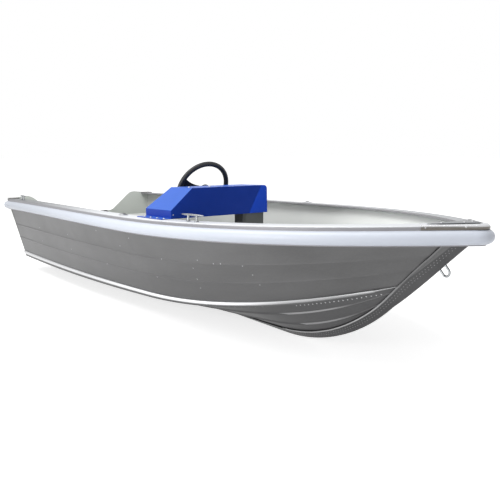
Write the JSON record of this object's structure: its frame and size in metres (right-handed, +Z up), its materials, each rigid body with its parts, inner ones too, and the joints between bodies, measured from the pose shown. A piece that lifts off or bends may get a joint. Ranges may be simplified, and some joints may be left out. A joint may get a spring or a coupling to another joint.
{
  "type": "side console boat",
  "caption": "Open aluminium V-hull boat with pressed side plates, a white fender along the gunwale, bench seats and a blue helm console on the starboard gunwale with a steering wheel.",
  "frame": {"origin": "on the waterline, amidships on the centreline", "axes": "+X to the bow, +Y to port, +Z up"},
  "size_m": [4.0186, 1.4912, 0.9249],
  "materials": {
    "hull_plate": "satin rolled sheet",
    "transom_plate": "painted inside and out",
    "chine_rail": "bright extrusion",
    "keel_band": "dull folded sheet",
    "gunwale": "white coated extrusion",
    "fender": "white vinyl",
    "bow_trim": "polished",
    "fitting": "polished",
    "stern_cap": "grey moulding",
    "motor_pad": "black board",
    "floor": "grey non-slip paint",
    "bench": "painted sheet",
    "console": "blue gloss paint",
    "pedestal": "dark grey paint",
    "helm": "grey moulding",
    "wheel": "black moulding",
    "rowlock": "black moulding"
  },
  "bodies": {
    "boat": {"side_starboard": "hull_plate", "side_port": "hull_plate", "bottom_starboard": "hull_plate", "bottom_port": "hull_plate", "transom": "transom_plate", "chine_rail_starboard": "chine_rail", "chine_rail_port": "chine_rail", "keel_bar": "keel_band", "stem_band": "keel_band", "gunwale_starboard": "gunwale", "gunwale_port": "gunwale", "fender": "fender", "bow_cap": "bow_trim", "breasthook": "bow_trim", "bow_cleat_starboard": "fitting", "stern_cleat_starboard": "fitting", "bow_eye": "fitting", "stern_cap_starboard": "stern_cap", "stern_cap_port": "stern_cap", "motor_pad_outer": "motor_pad", "motor_pad_inner": "motor_pad", "floor": "floor", "aft_bench": "bench", "helm_bench": "bench", "bow_bench": "bench", "console_shell": "console", "console_pedestal": "pedestal", "helm_bezel": "helm", "helm_gear": "helm", "rowlock_socket_starboard": "rowlock", "rowlock_socket_port": "rowlock"},
    "wheel": {"steering_wheel": "wheel"}
  },
  "joints": [
    {"name": "steering", "type": "hinge", "parent": "boat", "child": "wheel", "pos_m": [0.39705, -0.225, 0.60379], "axis": [-0.9107, 0, 0.4131], "range_deg": [-630, 630]}
  ]
}
